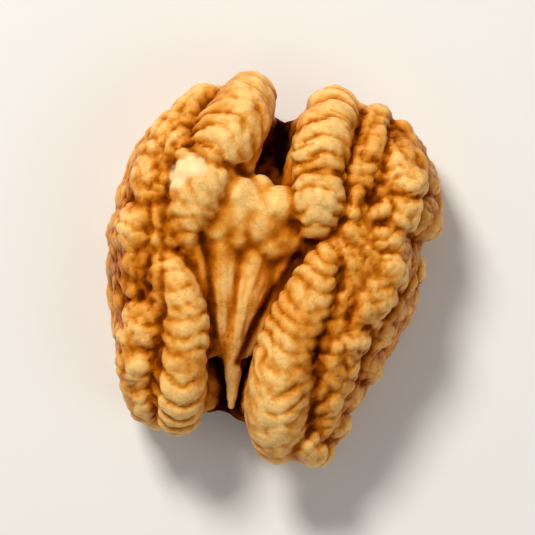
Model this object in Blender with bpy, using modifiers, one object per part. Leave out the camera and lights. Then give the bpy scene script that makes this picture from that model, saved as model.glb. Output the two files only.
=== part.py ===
"""Half a walnut kernel, lying on its flat face with the folded, domed face up.

One grown piece: two wings joined by a bridge, a fibrous tongue that runs to the
root tip in the lower notch, and an open notch at the other end. Metres, +Z up,
+Y along the kernel away from the root tip, origin under the middle of its box.
"""

import math
import random

import bmesh
import bpy
from mathutils import Matrix, Vector

MM = 0.001

# Driving dimensions, in millimetres.
LENGTH = 30.0
WIDTH = 26.0
HEIGHT = 13.0
PRESSED = 0.35          # how far the lowest folds are flattened where they lay on the shell's seam plane
HEART = 3.0             # half the width of the middle, where side folds have no room to reach in
WING = 8.0              # width of a wing over which side folds grow to their full reach

FOLD_PITCH = 2.0        # spacing of the creases along a fold of the dome
FIBRE_PITCH = 0.7       # spacing of the balls in the fine, stringy middle
FLESH_PITCH = 1.5       # spacing of the balls inside, close enough to leave no crease
VOXEL = 0.36            # grid that joins the balls into one skin
SOFTENED = 2            # rounds of smoothing on that skin
KEPT_SHARE = 0.17       # share of its faces that the finished solid keeps
SEED = 7

# Every fold is a line of balls through points (x, y, z, radius), in millimetres.
# Shoulder folds: the four thick rolls beside the middle channel, from the bridge outward.
SHOULDERS = {
    "upper_left": [
        (-7.2, 1.6, 9.9, 1.5), (-7.3, 3.8, 10.1, 2.2), (-7.1, 6.1, 10.1, 2.8),
        (-6.3, 7.9, 9.8, 2.3), (-5.6, 9.6, 9.6, 2.8), (-4.9, 11.6, 8.7, 2.6),
        (-4.5, 13.0, 7.2, 2.2),
    ],
    "upper_right": [
        (2.5, 4.3, 10.2, 1.6), (2.3, 5.6, 10.5, 2.15), (2.2, 7.0, 10.6, 2.25),
        (1.9, 8.4, 10.3, 2.15), (1.7, 9.8, 10.1, 2.4), (1.9, 11.5, 9.2, 2.4),
        (2.1, 13.0, 7.6, 2.2),
    ],
    "lower_left": [
        (-8.1, -1.4, 10.0, 1.9), (-7.1, -3.0, 10.4, 1.95), (-6.2, -5.0, 10.3, 1.95),
        (-6.0, -7.8, 9.8, 2.05), (-5.7, -10.2, 8.8, 2.2), (-5.5, -11.8, 7.4, 1.9),
    ],
    "lower_right": [
        (3.8, 2.0, 10.3, 1.5), (3.3, 0.1, 10.5, 2.0), (2.7, -2.4, 10.4, 2.4),
        (2.1, -5.0, 10.3, 2.55), (1.9, -7.8, 9.9, 2.65), (2.2, -10.4, 8.9, 2.7),
        (2.7, -12.1, 7.5, 2.3),
    ],
}

# Bank folds: the second row, lower than the shoulders.
BANKS = {
    "right_seam": [
        (5.6, 12.9, 6.8, 1.5), (5.5, 11.4, 8.5, 1.5), (5.3, 9.0, 9.7, 1.4), (5.2, 6.5, 10.2, 1.35),
        (5.3, 4.3, 10.3, 1.4), (5.6, 2.0, 10.3, 1.45), (5.5, -0.5, 10.2, 1.45),
    ],
    "upper_right": [
        (7.2, 11.8, 6.3, 1.8), (8.0, 10.3, 7.9, 1.95), (8.5, 8.4, 8.7, 2.0), (8.5, 6.3, 9.0, 1.9),
        (8.1, 4.4, 9.3, 1.8), (8.3, 2.3, 9.3, 1.9), (7.9, 0.3, 9.4, 1.8), (7.3, -1.6, 9.4, 1.7),
    ],
    "upper_left": [
        (-7.8, 11.8, 6.4, 1.8), (-9.2, 10.1, 7.6, 1.9), (-10.2, 8.0, 8.2, 1.9),
        (-10.7, 5.8, 8.4, 1.9), (-10.6, 3.6, 8.7, 1.8), (-10.7, 1.4, 8.7, 1.95),
        (-10.4, -0.8, 8.8, 1.8), (-10.1, -2.8, 8.6, 1.7),
    ],
    "lower_right": [
        (6.4, -3.2, 9.4, 1.8), (6.0, -5.4, 9.0, 1.85), (5.9, -7.8, 8.2, 1.85),
        (5.6, -10.0, 7.1, 1.8), (5.1, -11.8, 6.0, 1.7),
    ],
    "lower_left": [
        (-9.5, -4.8, 9.0, 1.75), (-9.3, -7.0, 8.7, 1.85), (-8.9, -9.4, 7.8, 1.85),
        (-8.1, -11.4, 6.4, 1.75),
    ],
}

# Bridge and tongue: the low ground between the wings, and the walls of the notch.
MIDDLE = {
    "brow_left": [(-6.0, 5.4, 9.9, 1.9), (-4.3, 5.6, 9.9, 1.7), (-2.9, 4.9, 10.0, 1.6)],
    "brow_peak": [(-2.3, 6.1, 9.2, 1.3), (-2.3, 4.8, 9.9, 1.6), (-1.8, 3.4, 9.6, 1.7)],
    "brow_right": [(-0.9, 5.3, 9.9, 1.6), (0.3, 5.4, 9.9, 1.5), (1.4, 4.9, 9.8, 1.6)],
    "saddle_left": [(-6.4, 3.0, 9.7, 1.7), (-5.0, 2.8, 9.5, 1.7), (-3.6, 2.6, 9.4, 1.7)],
    "saddle_right": [(-0.8, 2.4, 9.2, 1.7), (0.7, 2.9, 9.2, 1.5), (2.4, 2.9, 9.2, 1.3)],
    "strand": [
        (-6.8, 2.2, 9.7, 1.2), (-6.0, 0.4, 9.6, 1.3), (-5.3, -1.6, 9.3, 1.2),
        (-4.7, -3.6, 8.7, 1.0), (-4.2, -5.6, 7.8, 0.8),
    ],
    "tongue_left": [
        (-4.5, 1.2, 8.9, 1.9), (-4.1, -1.6, 8.6, 1.7), (-3.5, -4.2, 8.0, 1.25),
        (-2.9, -6.2, 7.1, 0.95),
    ],
    "tongue_middle": [
        (-1.9, 1.2, 8.4, 2.0), (-1.9, -1.8, 8.2, 1.8), (-2.1, -4.6, 7.7, 1.4),
        (-2.0, -7.0, 7.1, 0.9), (-1.7, -9.0, 6.6, 0.6), (-1.5, -10.6, 6.2, 0.4),
    ],
    "tongue_right": [
        (0.5, 1.2, 8.0, 1.8), (-0.2, -1.6, 7.7, 1.5), (-0.9, -4.2, 7.3, 1.15),
        (-1.4, -6.2, 6.9, 0.85),
    ],
    "notch_left": [
        (-4.5, 11.6, 7.2, 1.8), (-4.5, 9.8, 8.6, 1.9), (-4.9, 8.0, 9.0, 1.9),
        (-5.0, 6.6, 8.8, 1.9),
    ],
    "notch_right": [(1.3, 11.8, 7.2, 1.8), (1.1, 9.4, 7.4, 1.9), (0.9, 6.8, 7.4, 1.9)],
}

# Keel: the deep part of the bridge and tongue, down to a shallow hollow in the flat face.
KEEL = {
    "keel_upper": [
        (-5.6, 4.2, 5.4, 2.5), (-2.6, 4.2, 5.2, 2.5), (0.0, 4.2, 5.2, 2.5), (2.6, 4.2, 5.4, 2.5),
    ],
    "keel_lower": [
        (-5.6, 1.2, 5.2, 2.6), (-2.6, 1.2, 4.9, 2.6), (0.0, 1.2, 4.9, 2.6), (2.6, 1.2, 5.2, 2.6),
    ],
    "keel_tongue": [
        (-1.9, -0.8, 6.0, 2.4), (-2.0, -3.2, 5.8, 1.9), (-2.1, -5.6, 5.6, 1.4),
        (-2.0, -7.8, 5.4, 0.95),
    ],
    "keel_root": [
        (-1.9, -0.8, 4.2, 2.4), (-2.0, -3.2, 4.1, 1.8), (-2.1, -5.6, 4.2, 1.3),
        (-2.0, -7.6, 4.5, 0.9),
    ],
}

# Under folds: the smoother rolls of the flat face. The outer ones are the rim it lies on.
UNDER = {
    "rim_right": [
        (3.9, 12.6, 4.2, 1.9), (6.6, 11.6, 3.2, 1.9), (9.2, 9.4, 2.2, 2.0), (10.1, 6.6, 1.8, 2.05),
        (9.1, 4.2, 1.75, 1.9), (9.7, 1.0, 1.8, 2.05), (8.8, -2.6, 1.75, 2.0),
        (7.4, -6.2, 1.8, 2.05), (5.9, -9.6, 2.2, 1.9), (4.3, -12.2, 3.6, 1.9),
    ],
    "rim_left": [
        (-5.0, 12.4, 4.2, 1.9), (-7.8, 11.2, 3.0, 1.9), (-10.2, 8.6, 2.0, 2.0),
        (-11.4, 5.4, 1.8, 2.05), (-11.6, 1.6, 1.75, 2.0), (-11.2, -2.0, 1.8, 2.05),
        (-10.2, -5.6, 1.75, 2.0), (-9.0, -9.0, 1.9, 2.0), (-7.2, -11.8, 3.4, 1.9),
    ],
    "inner_right": [
        (1.3, 11.2, 5.0, 2.1), (0.9, 8.2, 4.2, 2.4), (2.8, 4.6, 2.5, 2.2), (3.3, 1.0, 2.2, 2.2),
        (2.4, -2.8, 2.3, 2.2), (1.1, -6.2, 3.6, 2.3), (0.9, -9.4, 4.8, 2.1),
    ],
    "inner_left": [
        (-4.0, 11.0, 5.0, 2.0), (-4.2, 8.0, 4.2, 2.4), (-6.2, 3.8, 2.5, 2.2),
        (-6.7, 0.2, 2.2, 2.2), (-6.0, -3.4, 2.3, 2.2), (-4.9, -6.8, 3.6, 2.2),
        (-4.5, -10.0, 4.8, 2.0),
    ],
}

# The flesh that the folds stand on, the webs that fill the grooves between them,
# and the floors of the two notches.
FLESH = {
    "right_shoulder": [
        (3.6, 11.4, 6.2, 2.7), (3.9, 8.6, 7.0, 3.2), (4.6, 5.2, 7.5, 3.6), (5.0, 1.6, 7.5, 3.7),
        (4.2, -2.2, 7.5, 3.5), (3.8, -6.0, 7.0, 3.3), (3.4, -10.0, 6.0, 2.8),
    ],
    "right_bank": [
        (6.4, 10.0, 5.8, 2.9), (7.2, 7.6, 6.2, 3.8), (6.9, 4.4, 6.4, 3.7), (7.2, 1.2, 6.4, 4.0),
        (6.2, -2.8, 6.3, 3.7), (5.2, -6.6, 5.9, 3.2), (4.6, -10.0, 5.2, 2.5),
    ],
    "left_shoulder": [
        (-5.4, 11.2, 6.2, 2.7), (-6.4, 8.6, 6.9, 3.2), (-7.2, 5.0, 7.4, 3.5),
        (-7.6, 1.2, 7.4, 3.5), (-7.2, -3.0, 7.3, 3.3), (-6.8, -6.8, 6.8, 3.0),
        (-6.3, -10.2, 5.8, 2.5),
    ],
    "left_bank": [
        (-7.6, 9.8, 5.8, 2.9), (-9.0, 7.4, 6.0, 3.5), (-9.5, 4.2, 6.2, 3.7), (-9.6, 0.6, 6.2, 3.7),
        (-9.1, -3.2, 6.1, 3.4), (-8.4, -6.8, 5.7, 3.0), (-7.4, -9.8, 5.0, 2.5),
    ],
    "right_web": [
        (4.5, 12.2, 7.4, 1.7), (4.3, 9.4, 9.4, 1.7), (4.4, 6.4, 9.8, 1.7), (4.8, 3.6, 9.9, 1.7),
        (4.8, 0.4, 10.0, 1.7), (4.9, -2.4, 10.0, 1.7), (4.9, -5.4, 9.9, 1.7),
        (4.6, -8.0, 8.9, 1.6), (4.4, -10.6, 7.6, 1.6),
    ],
    "seam_web": [
        (6.8, 11.4, 7.4, 1.6), (6.8, 9.0, 9.0, 1.7), (6.6, 6.2, 9.8, 1.7), (6.7, 3.0, 10.0, 1.8),
        (6.7, 0.0, 10.0, 1.7), (6.3, -2.6, 9.7, 1.6),
    ],
    "left_web": [
        (-8.4, 10.2, 7.9, 1.7), (-8.9, 8.2, 8.9, 1.7), (-9.3, 5.6, 9.2, 1.7),
        (-9.2, 2.6, 9.5, 1.7), (-8.9, 0.2, 9.7, 1.6), (-8.3, -3.8, 9.5, 1.6),
        (-7.9, -7.8, 8.7, 1.6), (-7.3, -10.8, 7.1, 1.6),
    ],
    "bridge_web": [
        (-5.6, 3.9, 9.1, 2.2), (-3.0, 4.1, 9.1, 2.3), (-0.4, 4.3, 9.0, 2.2), (2.2, 4.2, 8.9, 2.0),
    ],
    "tongue_web": [
        (-5.4, 1.0, 8.3, 1.7), (-5.0, -1.8, 8.1, 1.6), (-4.5, -4.4, 7.7, 1.3),
        (-3.9, -6.4, 7.0, 0.9),
    ],
    "notch_floor": [(-1.8, 9.8, 4.0, 1.3), (-1.9, 8.6, 4.7, 1.5), (-2.1, 7.2, 5.6, 1.7)],
    "notch_web": [(-4.0, 11.1, 3.7, 1.5), (-1.7, 10.8, 3.5, 1.15), (0.6, 11.1, 3.7, 1.5)],
    "bridge_left": [(-7.0, 5.4, 9.4, 2.2), (-4.6, 5.2, 9.1, 1.9), (-2.4, 4.4, 8.6, 1.8)],
    "bridge_low": [(-6.6, 3.2, 9.0, 1.9), (-4.6, 3.2, 8.6, 1.9), (-2.4, 2.6, 8.4, 1.8)],
    "root_floor": [(-2.0, -7.4, 4.4, 1.5), (-2.2, -8.4, 4.1, 1.4), (-2.2, -9.2, 3.9, 1.3)],
    "root_web": [(-4.6, -10.5, 3.8, 1.5), (-2.2, -10.2, 3.6, 1.15), (0.6, -10.5, 3.8, 1.5)],
    "right_floor": [
        (5.8, 8.8, 3.9, 2.4), (6.6, 4.6, 3.1, 2.5), (6.5, 0.4, 3.0, 2.5), (5.5, -4.0, 3.2, 2.4),
        (4.3, -8.4, 4.0, 2.2),
    ],
    "left_floor": [
        (-7.9, 8.2, 3.8, 2.4), (-9.0, 4.2, 3.1, 2.5), (-9.1, 0.0, 3.0, 2.5),
        (-8.4, -4.2, 3.2, 2.4), (-7.5, -8.4, 4.0, 2.2),
    ],
}

# Outline of each wing seen from above, as (y, reach from the middle) pairs.
RIGHT_OUTLINE = [
    (13.4, 7.0), (11.8, 8.8), (10.3, 10.7), (8.9, 11.7), (7.1, 12.4), (5.4, 11.6), (4.5, 10.4), (3.6, 10.5),
    (1.9, 11.7), (-0.5, 11.4), (-3.1, 10.5), (-6.9, 8.6), (-10.9, 7.1), (-13.4, 5.6),
]
LEFT_OUTLINE = [
    (13.4, -7.9), (10.4, -10.4), (6.9, -12.6), (4.0, -13.2), (1.4, -13.6), (-1.5, -13.1),
    (-4.0, -12.4), (-6.1, -11.8), (-9.7, -10.8), (-12.1, -9.2), (-13.4, -7.4),
]
RIGHT_SIDE_FOLDS = [11.0, 8.6, 6.6, 4.2, 1.9, -0.5, -2.9, -5.3, -7.7, -10.1, -12.0]
LEFT_SIDE_FOLDS = [11.0, 8.6, 6.2, 3.8, 1.4, -1.0, -3.4, -5.8, -8.2, -10.6, -12.2]

# A side fold runs over the wing's edge: (distance in from the outline, height, radius) along it.
SIDE_FOLD = [(4.4, 8.0, 1.5), (2.9, 7.2, 1.6), (1.8, 5.6, 1.65), (1.6, 3.8, 1.6), (2.0, 2.2, 1.5)]


def clear_scene():
    for obj in list(bpy.data.objects):
        bpy.data.objects.remove(obj)


def collection(name):
    made = bpy.data.collections.new(name)
    bpy.context.scene.collection.children.link(made)
    return made


def outline_reach(outline, y):
    """Reach of a wing's outline at this y, read off its pairs in a straight line."""
    for (y_above, x_above), (y_below, x_below) in zip(outline, outline[1:]):
        if y_above >= y >= y_below:
            return x_above + (x_below - x_above) * (y_above - y) / (y_above - y_below)
    return outline[0][1] if y > outline[0][0] else outline[-1][1]


def curve_point(a, b, c, d, t):
    """A point between b and c on the smooth (Catmull-Rom) curve through a, b, c and d."""
    return [
        0.5 * (2 * q + (r - p) * t + (2 * p - 5 * q + 4 * r - s) * t ** 2 + (3 * q - p - 3 * r + s) * t ** 3)
        for p, q, r, s in zip(a, b, c, d)
    ]


def smooth_path(points, pitch, steps=24):
    """Evenly spaced (place, radius) samples on a smooth curve through the points."""
    ends = [points[0], *points, points[-1]]
    fine = [
        curve_point(*four, step / steps)
        for four in zip(ends, ends[1:], ends[2:], ends[3:])
        for step in range(steps)
    ]
    fine.append(list(points[-1]))
    samples = [fine[0]]
    travelled = 0.0
    for before, after in zip(fine, fine[1:]):
        travelled += math.dist(before[:3], after[:3])
        if travelled >= pitch:
            samples.append(after)
            travelled = 0.0
    return [(Vector(sample[:3]), sample[3]) for sample in samples]


def add_fold(mesh, points, rng, pitch=FOLD_PITCH, unevenness=1.0):
    """A fold: overlapping balls along its path, each a little tilted and off line, so creases part them."""
    path = smooth_path(points, pitch)
    for index, (place, radius) in enumerate(path):
        behind = path[max(index - 1, 0)][0]
        ahead = path[min(index + 1, len(path) - 1)][0]
        tilt = Vector([rng.gauss(0, 0.2) * unevenness for _ in range(3)])
        shift = Vector([rng.uniform(-0.15, 0.15) * unevenness for _ in range(3)])
        width = radius * (1 + rng.uniform(-0.06, 0.06) * unevenness)
        turn = ((ahead - behind).normalized() + tilt).to_track_quat("Z", "X").to_matrix().to_4x4()
        shape = Matrix.Diagonal((width, width, min(width, 1.3 * pitch), 1))
        bmesh.ops.create_icosphere(
            mesh, subdivisions=3, radius=MM, matrix=Matrix.Translation((place + shift) * MM) @ turn @ shape
        )


def side_fold(outline, y, rng):
    """Points of a fold that leaves the second row at y and runs over the wing's edge to its rim."""
    reach = outline_reach(outline, y)
    side = math.copysign(1, reach)
    narrow = min(1, (abs(reach) - HEART) / WING)
    drift = rng.uniform(-0.5, 0.5)
    return [
        (reach - side * inset * narrow, y + drift * (1 - step / 2), height, radius)
        for step, (inset, height, radius) in enumerate(SIDE_FOLD)
    ]


def fit_to_size(mesh):
    """Scale the balls' box to the driving size and centre it, with PRESSED of it below the seam plane."""
    corners = [[pick(vert.co[axis] for vert in mesh.verts) for axis in range(3)] for pick in (min, max)]
    low, high = Vector(corners[0]), Vector(corners[1])
    size = Vector((WIDTH, LENGTH, HEIGHT + PRESSED)) * MM
    grow = Matrix.Diagonal([wanted / (top - bottom) for wanted, bottom, top in zip(size, low, high)]).to_4x4()
    foot = Vector(((low.x + high.x) / 2, (low.y + high.y) / 2, low.z))
    mesh.transform(Matrix.Translation((0, 0, -PRESSED * MM)) @ grow @ Matrix.Translation(-foot))


def kernel_mesh():
    rng = random.Random(SEED)
    mesh = bmesh.new()
    for folds in (SHOULDERS, BANKS):
        for points in folds.values():
            add_fold(mesh, points, rng)
    for outline, places in ((RIGHT_OUTLINE, RIGHT_SIDE_FOLDS), (LEFT_OUTLINE, LEFT_SIDE_FOLDS)):
        for y in places:
            add_fold(mesh, side_fold(outline, y, rng), rng)
    for points in UNDER.values():
        add_fold(mesh, points, rng, unevenness=0.4)
    for points in MIDDLE.values():
        add_fold(mesh, points, rng, pitch=FIBRE_PITCH, unevenness=0)
    for folds in (KEEL, FLESH):
        for points in folds.values():
            add_fold(mesh, points, rng, pitch=FLESH_PITCH, unevenness=0)
    fit_to_size(mesh)
    made = bpy.data.meshes.new("walnut_kernel_half")
    mesh.to_mesh(made)
    mesh.free()
    return made


def skin_material():
    """Dried seed coat: thin, golden brown and a little waxy."""
    made = bpy.data.materials.new("dried_seed_coat")
    made.use_nodes = True
    shader = made.node_tree.nodes["Principled BSDF"]
    shader.inputs["Base Color"].default_value = (0.55, 0.25, 0.06, 1)
    shader.inputs["Roughness"].default_value = 0.45
    shader.inputs["Metallic"].default_value = 0.0
    return made


def seam_plane_cutter(home):
    """A block whose top is the plane that the kernel's flat face lies on."""
    depth = HEIGHT * MM
    bpy.ops.mesh.primitive_cube_add(size=1, location=(0, 0, -depth / 2))
    block = bpy.context.object
    block.name = "seam_plane_cutter"
    block.scale = (2 * WIDTH * MM, 2 * LENGTH * MM, depth)
    block.hide_render = True
    block.display_type = "WIRE"
    for owner in list(block.users_collection):
        owner.objects.unlink(block)
    home.objects.link(block)
    return block


def add_skin_modifiers(kernel, cutter):
    skin = kernel.modifiers.new("one_skin", "REMESH")
    skin.mode = "VOXEL"
    skin.voxel_size = VOXEL * MM
    skin.use_smooth_shade = True
    soften = kernel.modifiers.new("soften_creases", "SMOOTH")
    soften.factor = 0.5
    soften.iterations = SOFTENED
    thin = kernel.modifiers.new("fewer_faces", "DECIMATE")
    thin.ratio = KEPT_SHARE
    press = kernel.modifiers.new("seam_plane", "BOOLEAN")
    press.operation = "DIFFERENCE"
    press.object = cutter


def main():
    clear_scene()
    parts = collection("walnut_kernel")
    cutters = collection("cutters")
    kernel = bpy.data.objects.new("kernel_half", kernel_mesh())
    kernel.data.materials.append(skin_material())
    parts.objects.link(kernel)
    add_skin_modifiers(kernel, seam_plane_cutter(cutters))


main()
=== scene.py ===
import math
import random

import bmesh
import bpy
import numpy as np
from mathutils import Matrix, Vector


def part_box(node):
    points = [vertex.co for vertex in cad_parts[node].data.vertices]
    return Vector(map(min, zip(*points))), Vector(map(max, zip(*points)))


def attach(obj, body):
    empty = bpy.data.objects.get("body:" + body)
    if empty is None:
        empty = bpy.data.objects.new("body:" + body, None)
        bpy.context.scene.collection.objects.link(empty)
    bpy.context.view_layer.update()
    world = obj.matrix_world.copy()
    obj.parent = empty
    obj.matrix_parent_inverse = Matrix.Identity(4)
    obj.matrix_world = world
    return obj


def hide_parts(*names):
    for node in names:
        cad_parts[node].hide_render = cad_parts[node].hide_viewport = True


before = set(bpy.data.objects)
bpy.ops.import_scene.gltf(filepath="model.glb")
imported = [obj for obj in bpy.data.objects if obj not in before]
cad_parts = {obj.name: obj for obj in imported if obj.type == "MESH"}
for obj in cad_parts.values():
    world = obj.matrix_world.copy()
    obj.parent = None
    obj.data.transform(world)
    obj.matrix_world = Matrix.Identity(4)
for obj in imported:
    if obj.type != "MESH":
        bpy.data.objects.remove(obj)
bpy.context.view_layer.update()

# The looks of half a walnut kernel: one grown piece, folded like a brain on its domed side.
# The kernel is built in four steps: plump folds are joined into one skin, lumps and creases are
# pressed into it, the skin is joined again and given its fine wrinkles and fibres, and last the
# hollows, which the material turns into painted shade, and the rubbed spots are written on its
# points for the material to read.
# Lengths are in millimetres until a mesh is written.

MM = 0.001
SEED = 11
PRESSED = 0.35          # how far the lowest folds are flattened where the kernel rests
BALL_PITCH = 0.6        # from ball to ball along a fold
SKIN_VOXEL = 0.24       # face size of the first skin, which carries the folds and creases
FINE_VOXEL = 0.19       # face size of the second skin, which carries the wrinkles
BLEND = 0.35            # distance over which one kind of fold gives way to the next
SEAM_WIDTH = 0.35       # half-width of the crease between two neighbouring folds
SEAM_DEPTH = 0.22
DOME_EDGE = (5.5, 7.5)  # listed relief fades in between these heights, on the domed side
LOBE = 2.5              # width of the lumps on the banks and sides
NODULE = 1.2            # width of the small lumps on those
WRINKLE_PITCH = 1.3     # from wrinkle to wrinkle along a roll
SLANT_PITCH = 1.1       # the same for the fainter wrinkles that run aslant
FIBRE_PITCH = 0.85      # from fibre to fibre across the tongue, where it joins the bridge
FAN_REACH = 13.0        # how far that is from the root tip
BLOTCH = 1 / 0.42       # size of the coat's paler and browner blotches
SPECK = 1 / 1.5         # size of its specks
VEIN_CELL = 1 / 0.52    # size of the patches between its veins
FLOOR_GAP = 0.02        # the floor lies this far below the kernel, so that the two never mix
FLOOR_HALF = 2.0        # half the floor's width, in metres
LOW, HIGH = (np.array(corner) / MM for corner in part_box("kernel_half"))

# ---------------------------------------------------------------- the folds
# Every fold is a line of balls through points (x, y, z, radius), in millimetres, in the kernel's
# own plan. Shoulder folds run outward from the bridge to the kernel's end, so that the wrinkles
# across them can arch round that end.

# Shoulder folds: the four thick rolls beside the middle channel, from the bridge outward.
SHOULDERS = {
    "upper_left": [
        (-7.2, 1.6, 9.9, 1.5), (-7.3, 3.8, 10.1, 2.2), (-7.1, 6.1, 10.1, 2.8),
        (-6.3, 7.9, 9.8, 2.3), (-5.6, 9.6, 9.6, 2.8), (-4.9, 11.6, 8.7, 2.6),
        (-4.5, 13.0, 7.2, 2.2),
    ],
    "upper_right": [
        (2.5, 4.3, 10.2, 1.6), (2.3, 5.6, 10.5, 2.15), (2.2, 7.0, 10.6, 2.25),
        (1.9, 8.4, 10.3, 2.15), (1.7, 9.8, 10.1, 2.4), (1.9, 11.5, 9.2, 2.4),
        (2.1, 13.0, 7.6, 2.2),
    ],
    "lower_left": [
        (-8.1, -1.4, 10.0, 1.9), (-7.1, -3.0, 10.4, 1.95), (-6.2, -5.0, 10.3, 1.95),
        (-6.0, -7.8, 9.8, 2.05), (-5.7, -10.2, 8.8, 2.2), (-5.5, -11.8, 7.4, 1.9),
    ],
    "lower_right": [
        (3.8, 2.0, 10.3, 1.5), (3.3, 0.1, 10.5, 2.0), (2.7, -2.4, 10.4, 2.4),
        (2.1, -5.0, 10.3, 2.55), (1.9, -7.8, 9.9, 2.65), (2.2, -10.4, 8.9, 2.7),
        (2.7, -12.1, 7.5, 2.3),
    ],
}

# Bank folds: the second row, lower than the shoulders.
BANKS = {
    "right_seam": [
        (5.6, 12.9, 6.8, 1.5), (5.5, 11.4, 8.5, 1.5), (5.3, 9.0, 9.7, 1.4), (5.2, 6.5, 10.2, 1.35),
        (5.3, 4.3, 10.3, 1.4), (5.6, 2.0, 10.3, 1.45), (5.5, -0.5, 10.2, 1.45),
    ],
    "upper_right": [
        (7.2, 11.8, 6.3, 1.8), (8.0, 10.3, 7.9, 1.95), (8.5, 8.4, 8.7, 2.0), (8.5, 6.3, 9.0, 1.9),
        (8.1, 4.4, 9.3, 1.8), (8.3, 2.3, 9.3, 1.9), (7.9, 0.3, 9.4, 1.8), (7.3, -1.6, 9.4, 1.7),
    ],
    "upper_left": [
        (-7.8, 11.8, 6.4, 1.8), (-9.2, 10.1, 7.6, 1.9), (-10.2, 8.0, 8.2, 1.9),
        (-10.7, 5.8, 8.4, 1.9), (-10.6, 3.6, 8.7, 1.8), (-10.7, 1.4, 8.7, 1.95),
        (-10.4, -0.8, 8.8, 1.8), (-10.1, -2.8, 8.6, 1.7),
    ],
    "lower_right": [
        (6.4, -3.2, 9.4, 1.8), (6.0, -5.4, 9.0, 1.85), (5.9, -7.8, 8.2, 1.85),
        (5.6, -10.0, 7.1, 1.8), (5.1, -11.8, 6.0, 1.7),
    ],
    "lower_left": [
        (-9.5, -4.8, 9.0, 1.75), (-9.3, -7.0, 8.7, 1.85), (-8.9, -9.4, 7.8, 1.85),
        (-8.1, -11.4, 6.4, 1.75),
    ],
}

# Bridge and tongue: the low ground between the wings, and the walls of the notch.
MIDDLE = {
    "brow_left": [(-6.0, 5.4, 9.9, 1.9), (-4.3, 5.6, 9.9, 1.7), (-2.9, 4.9, 10.0, 1.6)],
    "brow_peak": [(-2.3, 6.1, 9.2, 1.3), (-2.3, 4.8, 9.9, 1.6), (-1.8, 3.4, 9.6, 1.7)],
    "brow_right": [(-0.9, 5.3, 9.9, 1.6), (0.3, 5.4, 9.9, 1.5), (1.4, 4.9, 9.8, 1.6)],
    "saddle_left": [(-6.4, 3.0, 9.7, 1.7), (-5.0, 2.8, 9.5, 1.7), (-3.6, 2.6, 9.4, 1.7)],
    "saddle_right": [(-0.8, 2.4, 9.2, 1.7), (0.7, 2.9, 9.2, 1.5), (2.4, 2.9, 9.2, 1.3)],
    "strand": [
        (-6.8, 2.2, 9.7, 1.2), (-6.0, 0.4, 9.6, 1.3), (-5.3, -1.6, 9.3, 1.2),
        (-4.7, -3.6, 8.7, 1.0), (-4.2, -5.6, 7.8, 0.8),
    ],
    "tongue_left": [
        (-4.5, 1.2, 8.9, 1.9), (-4.1, -1.6, 8.6, 1.7), (-3.5, -4.2, 8.0, 1.25),
        (-2.9, -6.2, 7.1, 0.95),
    ],
    "tongue_middle": [
        (-1.9, 1.2, 8.4, 2.0), (-1.9, -1.8, 8.2, 1.8), (-2.1, -4.6, 7.7, 1.4),
        (-2.0, -7.0, 7.1, 0.9), (-1.7, -9.0, 6.6, 0.6), (-1.5, -10.6, 6.2, 0.4),
    ],
    "tongue_right": [
        (0.5, 1.2, 8.0, 1.8), (-0.2, -1.6, 7.7, 1.5), (-0.9, -4.2, 7.3, 1.15),
        (-1.4, -6.2, 6.9, 0.85),
    ],
    "notch_left": [
        (-4.5, 11.6, 7.2, 1.8), (-4.5, 9.8, 8.6, 1.9), (-4.9, 8.0, 9.0, 1.9),
        (-5.0, 6.6, 8.8, 1.9),
    ],
    "notch_right": [(1.3, 11.8, 7.2, 1.8), (1.1, 9.4, 7.4, 1.9), (0.9, 6.8, 7.4, 1.9)],
}

# Keel: the deep part of the bridge and tongue, down to a shallow hollow in the flat face.
KEEL = {
    "keel_upper": [
        (-5.6, 4.2, 5.4, 2.5), (-2.6, 4.2, 5.2, 2.5), (0.0, 4.2, 5.2, 2.5), (2.6, 4.2, 5.4, 2.5),
    ],
    "keel_lower": [
        (-5.6, 1.2, 5.2, 2.6), (-2.6, 1.2, 4.9, 2.6), (0.0, 1.2, 4.9, 2.6), (2.6, 1.2, 5.2, 2.6),
    ],
    "keel_tongue": [
        (-1.9, -0.8, 6.0, 2.4), (-2.0, -3.2, 5.8, 1.9), (-2.1, -5.6, 5.6, 1.4),
        (-2.0, -7.8, 5.4, 0.95),
    ],
    "keel_root": [
        (-1.9, -0.8, 4.2, 2.4), (-2.0, -3.2, 4.1, 1.8), (-2.1, -5.6, 4.2, 1.3),
        (-2.0, -7.6, 4.5, 0.9),
    ],
}

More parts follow.
